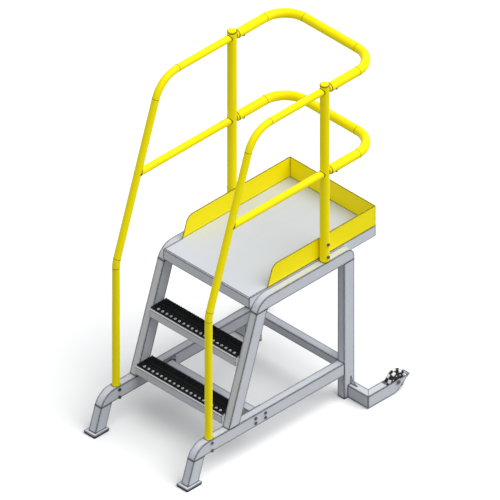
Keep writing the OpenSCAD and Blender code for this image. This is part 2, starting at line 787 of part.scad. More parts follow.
module rollers(side) {
    half = roller_len / 2;
    flat = half / 3;
    bore = pin_d / 2 + run_fit;
    color(roller_colour) on_side(side) translate([wheel_x, wheel_y, wheel_z]) at_rollers()
        rotate([90, 0, 0]) rotate_extrude() polygon([
            [bore, -half], [roller_end_r, -half], [roller_r, -flat],
            [roller_r, flat], [roller_end_r, half], [bore, half]]);
}

module roller_pins(side) {
    color(zinc_colour) on_side(side) translate([wheel_x, wheel_y, wheel_z]) at_rollers()
        translate([0, -pin_half, 0]) rotate([-90, 0, 0]) cylinder(r = pin_d / 2, h = 2 * pin_half);
}

module base_rail_left() base_rail(-1);
module base_rail_right() base_rail(1);
module top_rail_left() top_rail(-1);
module top_rail_right() top_rail(1);
module stringer_left() stringer(-1);
module stringer_right() stringer(1);
module rear_post_left() rear_post(-1);
module rear_post_right() rear_post(1);
module front_leg_left() front_leg(-1);
module front_leg_right() front_leg(1);
module foot_plate_left() foot_plate(-1);
module foot_plate_right() foot_plate(1);
module foot_pad_left() foot_pad(-1);
module foot_pad_right() foot_pad(1);
module post_plug_left() post_plug(-1);
module post_plug_right() post_plug(1);
module lower_step_frame() step_frame(tread_z[0]);
module lower_tread() tread(tread_z[0]);
module upper_step_frame() step_frame(tread_z[1]);
module upper_tread() tread(tread_z[1]);
module toe_board_left() toe_board_side(-1);
module toe_board_right() toe_board_side(1);
module handrail_left() handrail(-1);
module handrail_right() handrail(1);
module mid_rail_left() mid_rail(-1);
module mid_rail_right() mid_rail(1);
module rail_post_left() rail_post(-1);
module rail_post_right() rail_post(1);
module upper_guard() guard(rail_z);
module lower_guard() guard(mid_z);
module wheel_arm_left() wheel_arm(-1);
module wheel_arm_right() wheel_arm(1);
module axle_left() axle(-1);
module axle_right() axle(1);
module wheel_hub_left() wheel_hub(-1);
module wheel_hub_right() wheel_hub(1);
module rollers_left() rollers(-1);
module rollers_right() rollers(1);
module roller_pins_left() roller_pins(-1);
module roller_pins_right() roller_pins(1);

base_rail_left();
base_rail_right();
top_rail_left();
top_rail_right();
stringer_left();
stringer_right();
rear_post_left();
rear_post_right();
front_leg_left();
front_leg_right();
foot_plate_left();
foot_plate_right();
foot_pad_left();
foot_pad_right();
post_plug_left();
post_plug_right();
front_cross_beam();
rear_cross_beam();
beam_bolts();
beam_nuts();
lower_step_frame();
lower_tread();
upper_step_frame();
upper_tread();
deck_pan();
deck_stiffeners();
toe_board_left();
toe_board_right();
toe_board_rear();
handrail_left();
handrail_right();
mid_rail_left();
mid_rail_right();
rail_post_left();
rail_post_right();
post_caps();
handrail_bolts();
handrail_nuts();
rail_post_bolts();
rail_post_nuts();
guard_spigots();
upper_guard();
lower_guard();
guard_screws();
wheel_arm_left();
wheel_arm_right();
arm_gussets();
axle_left();
axle_right();
axle_nuts();
wheel_spacers();
wheel_hub_left();
wheel_hub_right();
rollers_left();
rollers_right();
roller_pins_left();
roller_pins_right();
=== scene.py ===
import math

import bmesh
import bpy
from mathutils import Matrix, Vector


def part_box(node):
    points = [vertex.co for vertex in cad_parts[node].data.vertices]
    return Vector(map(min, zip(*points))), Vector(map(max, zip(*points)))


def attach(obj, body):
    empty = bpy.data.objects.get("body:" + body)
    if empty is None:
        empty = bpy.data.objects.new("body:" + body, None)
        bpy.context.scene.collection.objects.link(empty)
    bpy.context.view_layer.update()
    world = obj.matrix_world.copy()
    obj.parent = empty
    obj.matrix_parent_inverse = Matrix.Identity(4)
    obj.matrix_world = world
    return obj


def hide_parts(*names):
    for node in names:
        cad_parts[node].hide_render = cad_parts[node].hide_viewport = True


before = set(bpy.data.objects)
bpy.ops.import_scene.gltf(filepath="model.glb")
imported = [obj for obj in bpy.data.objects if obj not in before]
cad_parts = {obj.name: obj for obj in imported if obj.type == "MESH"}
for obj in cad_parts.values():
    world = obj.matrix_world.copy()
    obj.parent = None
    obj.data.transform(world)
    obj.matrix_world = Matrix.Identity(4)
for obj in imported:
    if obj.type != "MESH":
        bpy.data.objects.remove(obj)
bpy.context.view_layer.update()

# The photograph is an isometric view: PX_PER_M pixels to the metre square to the view,
# and the middle of the front feet stands at pixel FEET_PX.
IMAGE_PX = 500
PX_PER_M = 238.2
FEET_PX = (142.9, 458.5)
AZIMUTH = math.radians(45)
ELEVATION = math.atan(math.sqrt(0.5))
CAMERA_DISTANCE = 6.0
CAMERA_REACH = 40


def feet_middle():
    """The point on the floor midway between the two front feet."""
    low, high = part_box("foot_pad_right")
    return Vector((0, (low.y + high.y) / 2, 0))


def make_camera():
    right = Vector((math.cos(AZIMUTH), math.sin(AZIMUTH), 0))
    back = Vector((math.sin(AZIMUTH) * math.cos(ELEVATION),
                   -math.cos(AZIMUTH) * math.cos(ELEVATION), math.sin(ELEVATION)))
    up = back.cross(right)
    across = (IMAGE_PX / 2 - FEET_PX[0]) / PX_PER_M
    above = (FEET_PX[1] - IMAGE_PX / 2) / PX_PER_M
    data = bpy.data.cameras.new("camera")
    data.type = "ORTHO"
    data.ortho_scale = IMAGE_PX / PX_PER_M
    data.clip_end = CAMERA_REACH
    camera = bpy.data.objects.new("camera", data)
    bpy.context.scene.collection.objects.link(camera)
    camera.location = feet_middle() + right * across + up * above + back * CAMERA_DISTANCE
    camera.rotation_mode = "QUATERNION"
    camera.rotation_quaternion = (-back).to_track_quat("-Z", "Y")
    bpy.context.scene.camera = camera


make_camera()


# Light

WORLD_LIGHT = 0.62
WORLD_COLOUR = (0.96, 0.98, 1.0, 1)
SUN_LIGHT = 2.35
SUN_FROM = (0.45, 0.24, 0.85)
SUN_SOFTNESS = math.radians(60)
FLOOR_SIZE = 30.0
FLOOR_WHITE = (0.99, 0.99, 0.99, 1)
FLOOR_BOUNCE = (0.22, 0.22, 0.22, 1)


def make_world():
    """Soft even light on the object, and plain white wherever the background is seen."""
    world = bpy.data.worlds.new("studio")
    bpy.context.scene.world = world
    world.use_nodes = True
    nodes, links = world.node_tree.nodes, world.node_tree.links
    nodes.clear()
    rays = nodes.new("ShaderNodeLightPath")
    seen = nodes.new("ShaderNodeMath")
    seen.operation = "MAXIMUM"
    mirrored = nodes.new("ShaderNodeMath")
    mirrored.operation = "MAXIMUM"
    links.new(rays.outputs["Is Glossy Ray"], mirrored.inputs[0])
    links.new(rays.outputs["Is Transmission Ray"], mirrored.inputs[1])
    links.new(rays.outputs["Is Camera Ray"], seen.inputs[0])
    links.new(mirrored.outputs[0], seen.inputs[1])
    light = nodes.new("ShaderNodeBackground")
    light.inputs["Color"].default_value = WORLD_COLOUR
    light.inputs["Strength"].default_value = WORLD_LIGHT
    white = nodes.new("ShaderNodeBackground")
    white.inputs["Color"].default_value = (1, 1, 1, 1)
    white.inputs["Strength"].default_value = 1.0
    mix = nodes.new("ShaderNodeMixShader")
    links.new(seen.outputs[0], mix.inputs[0])
    links.new(light.outputs[0], mix.inputs[1])
    links.new(white.outputs[0], mix.inputs[2])
    out = nodes.new("ShaderNodeOutputWorld")
    links.new(mix.outputs[0], out.inputs["Surface"])


def make_sun():
    data = bpy.data.lights.new("sun", "SUN")
    data.energy = SUN_LIGHT
    data.angle = SUN_SOFTNESS
    sun = bpy.data.objects.new("sun", data)
    bpy.context.scene.collection.objects.link(sun)
    sun.rotation_mode = "QUATERNION"
    sun.rotation_quaternion = Vector(SUN_FROM).to_track_quat("Z", "Y")


def make_floor():
    half = FLOOR_SIZE / 2
    mesh = bpy.data.meshes.new("floor")
    corners = [(-half, -half, 0), (half, -half, 0), (half, half, 0), (-half, half, 0)]
    mesh.from_pydata(corners, [], [(0, 1, 2, 3)])
    floor = bpy.data.objects.new("floor", mesh)
    bpy.context.scene.collection.objects.link(floor)
    floor.data.materials.append(floor_finish())


def floor_finish():
    """White to the eye and in reflections, with the object's shadow kept."""
    mat = bpy.data.materials.new("floor")
    mat.use_nodes = True
    nodes, links = mat.node_tree.nodes, mat.node_tree.links
    shader = nodes["Principled BSDF"]
    shader.inputs["Roughness"].default_value = 0.9
    shader.inputs["Specular IOR Level"].default_value = 0.0
    rays = nodes.new("ShaderNodeLightPath")
    seen = nodes.new("ShaderNodeMath")
    seen.operation = "MAXIMUM"
    links.new(rays.outputs["Is Camera Ray"], seen.inputs[0])
    links.new(rays.outputs["Is Glossy Ray"], seen.inputs[1])
    mix = nodes.new("ShaderNodeMix")
    mix.data_type = "RGBA"
    mix.inputs["A"].default_value = FLOOR_BOUNCE
    mix.inputs["B"].default_value = FLOOR_WHITE
    links.new(seen.outputs[0], mix.inputs["Factor"])
    links.new(mix.outputs["Result"], shader.inputs["Base Color"])
    return mat


make_world()
make_sun()
make_floor()
bpy.context.scene.view_settings.view_transform = "Standard"


# Finishes. The edge values are how far the line along an edge reaches, in metres; where the line
# is dark it is painted shade.

FRAME_EDGE_SHADE = 0.0095
STEP_EDGE_SHADE = 0.006
SHEET_EDGE_SHADE = 0.008
RAIL_EDGE_SHADE = 0.008
TREAD_EDGE = 0.0006
MOULDED_EDGE_SHADE = 0.0007
ROLLER_EDGE_SHADE = 0.004
ZINC_EDGE_SHADE = 0.0012
EDGE_SAMPLES = 6
EDGE_STARTS, EDGE_FULL = 0.99, 0.955


def linear(red, green, blue):
    """An sRGB colour of 0 to 255 as the linear values that a shader takes."""
    def channel(value):
        value /= 255
        return value / 12.92 if value <= 0.04045 else ((value + 0.055) / 1.055) ** 2.4
    return (channel(red), channel(green), channel(blue), 1)


def shade(colour, factor):
    return tuple(min(1, part * factor) for part in colour[:3]) + (1,)


class Finish:
    """A principled material with its nodes added one kind at a time."""

    def __init__(self, name, colour, roughness, metallic=0.0, specular=0.3):
        self.mat = bpy.data.materials.new(name)
        self.mat.use_nodes = True
        self.mat.diffuse_color = colour
        self.nodes = self.mat.node_tree.nodes
        self.links = self.mat.node_tree.links
        self.shader = self.nodes["Principled BSDF"]
        self.shader.inputs["Base Color"].default_value = colour
        self.shader.inputs["Roughness"].default_value = roughness
        self.shader.inputs["Metallic"].default_value = metallic
        self.shader.inputs["Specular IOR Level"].default_value = specular
        self.place = self.nodes.new("ShaderNodeTexCoord").outputs["Object"]
        self.colour = None
        self.height = []

    def noise(self, scale, detail=3.0, stretch=(1, 1, 1)):
        mapping = self.nodes.new("ShaderNodeMapping")
        mapping.inputs["Scale"].default_value = stretch
        texture = self.nodes.new("ShaderNodeTexNoise")
        texture.inputs["Scale"].default_value = scale
        texture.inputs["Detail"].default_value = detail
        self.links.new(self.place, mapping.inputs["Vector"])
        self.links.new(mapping.outputs[0], texture.inputs["Vector"])
        return texture.outputs["Fac"]

    def spangle(self, scale):
        texture = self.nodes.new("ShaderNodeTexVoronoi")
        texture.inputs["Scale"].default_value = scale
        self.links.new(self.place, texture.inputs["Vector"])
        split = self.nodes.new("ShaderNodeSeparateColor")
        self.links.new(texture.outputs["Color"], split.inputs[0])
        return split.outputs[0]

    def remap(self, value, low, high, out_low, out_high):
        node = self.nodes.new("ShaderNodeMapRange")
        node.inputs["From Min"].default_value = low
        node.inputs["From Max"].default_value = high
        node.inputs["To Min"].default_value = out_low
        node.inputs["To Max"].default_value = out_high
        self.links.new(value, node.inputs["Value"])
        return node.outputs["Result"]

    def tint(self, factor, colour):
        """Mixes colour over what is there, by factor."""
        mix = self.nodes.new("ShaderNodeMix")
        mix.data_type = "RGBA"
        self.links.new(factor, mix.inputs["Factor"])
        if self.colour is None:
            mix.inputs["A"].default_value = self.shader.inputs["Base Color"].default_value[:]
        else:
            self.links.new(self.colour, mix.inputs["A"])
        mix.inputs["B"].default_value = colour
        self.colour = mix.outputs["Result"]
        self.links.new(self.colour, self.shader.inputs["Base Color"])

    def roughen(self, value, low, high):
        self.links.new(self.remap(value, 0.3, 0.7, low, high), self.shader.inputs["Roughness"])

    def edges(self, width, colour, strength):
        """A thin line of colour painted along the edges and creases; where it is dark, it is
        painted shade that outlines them.

        It begins where the cosine between the rounded normal and the face's own is
        EDGE_STARTS, and is full at EDGE_FULL.
        """
        bevel = self.nodes.new("ShaderNodeBevel")
        bevel.samples = EDGE_SAMPLES
        bevel.inputs["Radius"].default_value = width
        shape = self.nodes.new("ShaderNodeNewGeometry")
        dot = self.nodes.new("ShaderNodeVectorMath")
        dot.operation = "DOT_PRODUCT"
        self.links.new(bevel.outputs[0], dot.inputs[0])
        self.links.new(shape.outputs["True Normal"], dot.inputs[1])
        line = self.remap(dot.outputs["Value"], EDGE_STARTS, EDGE_FULL, 0.0, strength)
        self.tint(line, colour)

    def bump(self, height, distance):
        node = self.nodes.new("ShaderNodeBump")
        node.inputs["Distance"].default_value = distance
        node.inputs["Strength"].default_value = 1.0
        self.links.new(height, node.inputs["Height"])
        if self.height:
            self.links.new(self.height[-1], node.inputs["Normal"])
        self.height.append(node.outputs["Normal"])
        self.links.new(self.height[-1], self.shader.inputs["Normal"])


def painted_steel(name, colour, edge_shade_colour, edge):
    finish = Finish(name, colour, 0.45)
    cloud = finish.noise(9, 4)
    finish.tint(finish.remap(cloud, 0.35, 0.75, 0, 0.5), shade(colour, 0.9))
    finish.tint(finish.remap(finish.spangle(90), 0.0, 1.0, 0, 0.22), shade(colour, 1.12))
    # A dark line of painted shade along the edges.
    finish.edges(edge, edge_shade_colour, 0.97)
    finish.roughen(finish.noise(30, 3), 0.38, 0.52)
    finish.bump(finish.noise(700, 2), 0.00005)
    return finish.mat


def yellow_paint():
    colour = linear(254, 237, 0)
    finish = Finish("rail_yellow_paint", colour, 0.4, specular=0.12)
    finish.tint(finish.remap(finish.noise(7, 4), 0.4, 0.8, 0, 0.3), linear(252, 229, 0))
    # A near-black line of painted shade along the edges.
    finish.edges(RAIL_EDGE_SHADE, linear(20, 18, 2), 0.95)
    finish.roughen(finish.noise(25, 3), 0.34, 0.46)
    finish.bump(finish.noise(520, 2), 0.00006)
    return finish.mat


def deck_sheet():
    colour = linear(205, 209, 218)
    finish = Finish("deck_sheet", colour, 0.5)
    rolled = finish.noise(60, 3, (1, 0.06, 1))
    finish.tint(finish.remap(rolled, 0.3, 0.7, 0, 0.3), shade(colour, 0.95))
    finish.tint(finish.remap(finish.noise(6, 5), 0.5, 0.8, 0, 0.35), shade(colour, 0.88))
    # A near-black line of painted shade along the edges.
    finish.edges(SHEET_EDGE_SHADE, linear(20, 22, 27), 0.97)
    finish.roughen(finish.noise(40, 3), 0.42, 0.58)
    finish.bump(finish.noise(900, 2), 0.00004)
    return finish.mat


def tread_coat():
    colour = linear(12, 13, 15)
    finish = Finish("tread_coat", colour, 0.7, specular=0.15)
    finish.tint(finish.remap(finish.noise(45, 4), 0.45, 0.75, 0, 0.5), linear(30, 31, 33))
    finish.edges(TREAD_EDGE, linear(92, 94, 98), 0.4)
    finish.bump(finish.noise(1400, 2), 0.0003)
    return finish.mat


def rubber():
    finish = Finish("foot_rubber_black", linear(26, 26, 27), 0.75)
    finish.tint(finish.remap(finish.noise(60, 4), 0.4, 0.8, 0, 0.6), linear(52, 51, 50))
    finish.bump(finish.noise(900, 3), 0.0002)
    return finish.mat


def moulded(name, colour, roughness, edge=MOULDED_EDGE_SHADE):
    finish = Finish(name, colour, roughness)
    finish.tint(finish.remap(finish.noise(40, 3), 0.4, 0.8, 0, 0.4), shade(colour, 0.8))
    # A dark line of painted shade along the edges.
    finish.edges(edge, shade(colour, 0.1), 0.9)
    finish.bump(finish.noise(1200, 2), 0.00008)
    return finish.mat


def zinc():
    colour = linear(84, 86, 90)
    finish = Finish("zinc_plate", colour, 0.4, 0.7)
    finish.tint(finish.remap(finish.noise(120, 3), 0.4, 0.7, 0, 0.5), linear(64, 66, 68))
    # A near-black line of painted shade along the edges.
    finish.edges(ZINC_EDGE_SHADE, linear(10, 10, 12), 0.9)
    finish.roughen(finish.noise(200, 2), 0.3, 0.46)
    finish.bump(finish.noise(1500, 2), 0.00003)
    return finish.mat


GREY = linear(202, 205, 212)
# The near-black colour of the painted shade line along the grey edges.
GREY_EDGE_SHADE = linear(16, 17, 21)
FINISHES = {
    "frame_steel": painted_steel("frame_grey_paint", GREY, GREY_EDGE_SHADE, FRAME_EDGE_SHADE),
    "deck_steel": deck_sheet(),
    "rail_yellow": yellow_paint(),
    "tread_black": tread_coat(),
    "foot_rubber": rubber(),
    "black_plastic": moulded("black_plastic_moulded", linear(30, 30, 32), 0.5),
    "zinc_steel": zinc(),
    "roller_plastic": moulded("roller_plastic_moulded", linear(232, 232, 228), 0.4,
                              ROLLER_EDGE_SHADE),
    "hub_plastic": moulded("hub_plastic_moulded", linear(22, 23, 25), 0.5),
}

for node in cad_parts.values():
    for index, used in enumerate(node.data.materials):
        node.material_slots[index].link = "OBJECT"
        node.material_slots[index].material = FINISHES[used.name]

STEP_PAINT = painted_steel("step_grey_paint", GREY, GREY_EDGE_SHADE, STEP_EDGE_SHADE)
for name in ("lower_step_frame", "upper_step_frame"):
    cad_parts[name].material_slots[0].material = STEP_PAINT


# Rounded edges on the CAD nodes, in metres

TUBE_ROUND = 0.001
SHEET_ROUND = 0.0009
PLATE_ROUND = 0.0007
JOIN_DISTANCE = 0.00002
ROUND_SEGMENTS = 2
ROUND_FROM = math.radians(32)
FLAT_WEIGHT = 60


def soften(names, width):
    """Rounds the sharp edges of CAD nodes with modifiers alone."""
    for name in names:
        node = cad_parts[name]
        weld = node.modifiers.new("weld", "WELD")
        weld.merge_threshold = JOIN_DISTANCE
        bevel = node.modifiers.new("round", "BEVEL")
        bevel.width = width
        bevel.segments = ROUND_SEGMENTS
        bevel.limit_method = "ANGLE"
        bevel.angle_limit = ROUND_FROM
        normals = node.modifiers.new("normals", "WEIGHTED_NORMAL")
        normals.weight = FLAT_WEIGHT


def both(*names):
    return [name + side for name in names for side in ("_left", "_right")]


soften(both("base_rail", "top_rail", "stringer", "rear_post", "front_leg"), TUBE_ROUND)
soften(["front_cross_beam", "rear_cross_beam", "arm_gussets"], TUBE_ROUND)
soften(["lower_step_frame", "upper_step_frame", "deck_pan"], SHEET_ROUND)
soften(both("foot_plate", "toe_board") + ["toe_board_rear"], PLATE_ROUND)
soften(["beam_bolts", "handrail_bolts", "rail_post_bolts", "beam_nuts", "handrail_nuts",
        "rail_post_nuts", "axle_nuts", "guard_screws"] + both("axle"), PLATE_ROUND)


# Pieces that are too fine for the CAD. Lengths are millimetres, Y from the middle of the
# front feet.

MM = 0.001
MID_Y = 562
SMOOTH_BELOW = math.radians(38)


def at(x, y, z):
    return Vector((x, y - MID_Y, z)) * MM


def piece(name, bm, finish, body="stand"):
    mesh = bpy.data.meshes.new(name)
    bmesh.ops.recalc_face_normals(bm, faces=bm.faces)
    bm.to_mesh(mesh)
    bm.free()
    for face in mesh.polygons:
        face.use_smooth = True
    mesh.set_sharp_from_angle(angle=SMOOTH_BELOW)
    mesh.materials.append(finish)
    obj = bpy.data.objects.new(name, mesh)
    bpy.context.scene.collection.objects.link(obj)
    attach(obj, body)
    return obj


def resample(points, step, closed):
    """Points a step apart, in millimetres, along a line or loop."""
    line = list(points) + ([points[0]] if closed else [])
    out = []
    for a, b in zip(line, line[1:]):
        count = max(1, round((b - a).length / MM / step))
        out += [a.lerp(b, i / count) for i in range(count)]
    return out if closed else out + [line[-1]]


def sweep(bm, points, radius, sides=8, closed=True, ripple=0.0, pitch=4.0):
    """A round bead along points, with the ripples of a weld."""
    count = len(points)
    rings = []
    side_axis = None
    run = 0.0
    for i, point in enumerate(points):
        before = points[i - 1] if i or closed else point
        after = points[(i + 1) % count] if i < count - 1 or closed else point
        along = (after - before).normalized()
        if side_axis is None:
            helper = Vector((0, 0, 1)) if abs(along.z) < 0.9 else Vector((1, 0, 0))
            side_axis = along.cross(helper).normalized()
        side_axis = (side_axis - along * side_axis.dot(along)).normalized()
        up = along.cross(side_axis)
        run += (point - before).length / MM
        r = radius * MM * (1 - ripple * abs(math.sin(math.pi * run / pitch)))
        ring = []
        for k in range(sides):
            angle = 2 * math.pi * k / sides
            ring.append(bm.verts.new(point + side_axis * (r * math.cos(angle))
                                     + up * (r * math.sin(angle))))
        rings.append(ring)
    pairs = list(zip(rings, rings[1:])) + ([(rings[-1], rings[0])] if closed else [])
    for a, b in pairs:
        for k in range(sides):
            bm.faces.new((a[k], a[(k + 1) % sides], b[(k + 1) % sides], b[k]))
    if not closed:
        bm.faces.new(rings[0])
        bm.faces.new(rings[-1])


def ring_points(centre, normal, radius, count=64, start=0.0, turn=360.0):
    """Points on a circle, in the order of a turn about normal from the +X side."""
    normal = Vector(normal).normalized()
    first = Vector((1, 0, 0)) if abs(normal.x) < 0.9 else Vector((0, 1, 0))
    second = normal.cross(first)
    last = count if turn == 360 else count + 1
    return [centre + (first * math.cos(a) + second * math.sin(a)) * (radius * MM)
            for a in (math.radians(start + turn * i / count) for i in range(last))]


def lathe(bm, centre, axis, profile, sides=48):
    """Turns (radius, height) pairs about axis. A radius of 0 closes to a point."""
    axis = Vector(axis).normalized()
    first = Vector((1, 0, 0)) if abs(axis.x) < 0.9 else Vector((0, 1, 0))
    second = axis.cross(first)
    rings = []
    for radius, height in profile:
        middle = centre + axis * (height * MM)
        if radius == 0:
            rings.append([bm.verts.new(middle)])
            continue
        rings.append([bm.verts.new(middle + (first * math.cos(2 * math.pi * k / sides)
                                             + second * math.sin(2 * math.pi * k / sides))
                                   * (radius * MM)) for k in range(sides)])
    for a, b in zip(rings, rings[1:]):
        for k in range(sides):
            n = (k + 1) % sides
            if len(a) == 1:
                bm.faces.new((a[0], b[n], b[k]))
            elif len(b) == 1:
                bm.faces.new((a[k], a[n], b[0]))
            else:
                bm.faces.new((a[k], a[n], b[n], b[k]))


# Sizes of the stand, as its solids have them

TUBE_W, TUBE_H = 40, 60
SIDE_X = 275
INNER_X = SIDE_X - TUBE_W / 2
OUTER_X = SIDE_X + TUBE_W / 2
SLOPE = math.radians(72)
COT = 1 / math.tan(SLOPE)
TUBE_RUN = TUBE_H / math.sin(SLOPE)
BASE_TOP = 185
BASE_BOTTOM = BASE_TOP - TUBE_H
TOP_TOP = 755
TOP_BOTTOM = TOP_TOP - TUBE_H
STRINGER_Y = 216
LEG_Y = -TUBE_RUN / 2
FOOT_TOP = 13
FOOT_HALF_X, FOOT_HALF_Y = 33, 44
POST_Y = 901
POST_BACK = POST_Y + TUBE_H
BEAM = 40
BEAM_Y = 403
BEAM_Z = (BASE_BOTTOM + BASE_TOP) / 2
BEAM_BOLT_Y, BEAM_BOLT_Z = 29, 12
RAIL_BOLT_Z = (131, 170)
RAIL_R = 16.7
RAIL_POST_R = 21.1
SPIGOT_R = 17.5
RAIL_POST_Y = 804
RAIL_Y = 115
RAIL_Z, MID_Z = 1630, 1206
KNEE_Z = 809
BEND_R = 135
GUARD_Y = 1118
GUARD_R = 120
POST_TOP = 1662
ARM_X = 417
ARM_Y = POST_BACK - TUBE_W
ARM_BOTTOM = 4
ARM_TOP = ARM_BOTTOM + TUBE_H
GUSSET, GUSSET_HALF = 38, 2.5
WHEEL_Y, WHEEL_Z = 1099, 53
MID_FRONT_Y = RAIL_Y + (MID_Z - KNEE_Z) * COT
CROWN_Y = RAIL_Y + (RAIL_Z - KNEE_Z) * COT
KNEE_RUN = BEND_R * math.tan((math.pi / 2 - SLOPE) / 2)
CROWN_RUN = BEND_R * math.tan(SLOPE / 2)
TOOTH = 6
HOLE_PITCH = 25
HOLE_IN = 9.8
STEP_LEVELS = {"lower": 254, "upper": 508}
DECK_BEND = 6
TOE_START = 110
ROLLERS = 8
ROLLER_RING = 43.5
ROW_X = 7.8
SIDES = {"left": -1, "right": 1}

# Sizes of the pieces added here. A bead or line has the radius given.

FRAME_BEAD = 1.9
GUSSET_BEAD = 1.5
MITRE_BEAD = 1.1
RAIL_BEAD = 1.5
SPIGOT_BEAD = 1.3
FOOT_BEAD = 2.2
BEAD_STEP = 1.3
FRAME_RIPPLE = 0.28
FINE_RIPPLE = 0.25
RAIL_PITCH = 3.6
LOOP_POINTS = 72
FOOT_TURN = 280
FINE_LINE = 0.9
SUNK = 0.1
CORNER_LINE = 38
CAP_SEAM = 5.2
RAIL_SEAT = 0.4
BOLT_WASHER_R = 8.4
NOSING = 1.7
NOSING_LINE = 4.5
RIVETS = 8
RIVET_RING = 29
RIVET_START = 11
CORNER_STEPS = 5
PAD_CORNER = 5


def detail_finish(name, colour, roughness):
    finish = Finish(name, colour, roughness)
    finish.tint(finish.remap(finish.noise(300, 2), 0.4, 0.7, 0, 0.6), shade(colour, 1.7))
    finish.bump(finish.noise(2000, 2), 0.0001)
    return finish.mat


# The dark finishes below are painted shade along joints, folds and bends. The pale steel is real
# pale metal on the rivets and a painted highlight on the tread collars and step nosings.
RAIL_PAINTED_SHADE = detail_finish("rail_painted_shade", linear(66, 58, 8), 0.6)
FRAME_PAINTED_SHADE = detail_finish("frame_painted_shade", linear(44, 46, 52), 0.6)
PALE_STEEL_AND_PAINTED_HIGHLIGHT = detail_finish("pale_steel_and_painted_highlight", linear(225, 226, 228), 0.4)
WASHER_STEEL = detail_finish("washer_steel", linear(150, 152, 158), 0.4)


def square(corners):
    return resample([at(*corner) for corner in corners], BEAD_STEP, True)


def level_loop(side, y, z, depth=TUBE_RUN):
    return square([(side * INNER_X, y, z), (side * OUTER_X, y, z),
                   (side * OUTER_X, y + depth, z), (side * INNER_X, y + depth, z)])


def frame_welds(label, side):
    """The weld beads where the grey tubes of one side meet, coloured dark as painted shade along
    the joints.
    """
    bm = bmesh.new()
    stringer_top = STRINGER_Y + (TOP_BOTTOM - BASE_TOP) * COT
    loops = [
        level_loop(side, STRINGER_Y, BASE_TOP),
        level_loop(side, stringer_top, TOP_BOTTOM),
        level_loop(side, LEG_Y + BASE_BOTTOM * COT, BASE_BOTTOM),
        level_loop(side, LEG_Y + FOOT_TOP * COT, FOOT_TOP),
        level_loop(side, POST_Y, TOP_BOTTOM, TUBE_H),
        square([(side * INNER_X, POST_Y, BASE_BOTTOM), (side * OUTER_X, POST_Y, BASE_BOTTOM),
                (side * OUTER_X, POST_Y, BASE_TOP), (side * INNER_X, POST_Y, BASE_TOP)]),
        square([(side * INNER_X, POST_Y, BASE_TOP - BEAM),
                (side * INNER_X, POST_Y + BEAM, BASE_TOP - BEAM),
                (side * INNER_X, POST_Y + BEAM, BASE_TOP), (side * INNER_X, POST_Y, BASE_TOP)]),
        square([(side * OUTER_X, ARM_Y, ARM_BOTTOM), (side * OUTER_X, POST_BACK, ARM_BOTTOM),
                (side * OUTER_X, POST_BACK, ARM_TOP), (side * OUTER_X, ARM_Y, ARM_TOP)]),
    ]
    for points in loops:
        sweep(bm, points, FRAME_BEAD, ripple=FRAME_RIPPLE)
    middle = (ARM_Y + POST_BACK) / 2
    for dy in (-GUSSET_HALF, GUSSET_HALF):
        path = [at(side * OUTER_X, middle + dy, ARM_TOP + GUSSET),
                at(side * OUTER_X, middle + dy, ARM_TOP + 1),
                at(side * (OUTER_X + GUSSET), middle + dy, ARM_TOP)]
        sweep(bm, resample(path, BEAD_STEP, False), GUSSET_BEAD, closed=False,
              ripple=FINE_RIPPLE)
    piece("frame_welds_" + label, bm, FRAME_PAINTED_SHADE)


def arm_mitre(label, side):
    """A dark line of painted shade over the mitre of a wheel arm."""
    bm = bmesh.new()
    line = [at(side * ARM_X, ARM_Y, ARM_BOTTOM + 1), at(side * ARM_X, ARM_Y, ARM_TOP),
            at(side * (ARM_X - TUBE_W), POST_BACK, ARM_TOP)]
    sweep(bm, line, MITRE_BEAD, closed=False)
    piece("arm_mitre_" + label, bm, FRAME_PAINTED_SHADE)


def deck_lines():
    """Fine dark lines of painted shade where the deck's sheet turns down along its front and
    sides.
    """
    bm = bmesh.new()
    low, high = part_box("deck_pan")
    top, front = high.z / MM, low.y / MM + MID_Y
    edge = high.x / MM
    lines = [[(-edge, front + DECK_BEND, top), (edge, front + DECK_BEND, top)],
             [(-edge, front, top - DECK_BEND), (edge, front, top - DECK_BEND)]]
    for side in SIDES.values():
        x = side * (edge - DECK_BEND)
        lines.append([(x, front + DECK_BEND, top), (x, front + TOE_START, top)])
        lines.append([(side * edge, front, top - DECK_BEND),
                      (side * edge, front, top - CORNER_LINE)])
    for line in lines:
        sweep(bm, [at(*point) for point in line], FINE_LINE, sides=6, closed=False)
    piece("deck_lines", bm, FRAME_PAINTED_SHADE)


def saddle(side, z, r, back):
    """Where a tube of radius r along Y meets the rail post."""
    out = []
    for i in range(LOOP_POINTS):
        angle = 2 * math.pi * i / LOOP_POINTS
        x, up = r * math.cos(angle), r * math.sin(angle)
        depth = math.sqrt(RAIL_POST_R ** 2 - x ** 2)
        out.append(at(side * SIDE_X + x, RAIL_POST_Y + (depth if back else -depth), z + up))
    return out


def rail_welds(label, side):
    """The weld beads of the hand rail, the mid rail and the rail post's foot on one side,
    coloured dark as painted shade along the joints.
    """
    weld = {"ripple": FINE_RIPPLE, "pitch": RAIL_PITCH}
    bm = bmesh.new()
    for z in (RAIL_Z, MID_Z):
        sweep(bm, saddle(side, z, RAIL_R, False), RAIL_BEAD, **weld)
        sweep(bm, saddle(side, z, SPIGOT_R, True), SPIGOT_BEAD, **weld)
    front = []
    for i in range(LOOP_POINTS):
        angle = 2 * math.pi * i / LOOP_POINTS
        rise = math.sin(angle)
        y = RAIL_R * (math.cos(SLOPE) * rise + abs(rise)) / math.sin(SLOPE)
        front.append(at(side * SIDE_X + RAIL_R * math.cos(angle), MID_FRONT_Y + y,
                        MID_Z + RAIL_R * rise))
    sweep(bm, front, RAIL_BEAD, **weld)
    # The bead leaves out the side where the toe board stands against the post.
    start = (0 if side > 0 else 180) - FOOT_TURN / 2
    foot = ring_points(at(side * SIDE_X, RAIL_POST_Y, TOP_TOP), (0, 0, 1), RAIL_POST_R,
                       60, start, FOOT_TURN)
    sweep(bm, foot, FOOT_BEAD, closed=False, **weld)
    piece("rail_welds_" + label, bm, RAIL_PAINTED_SHADE)


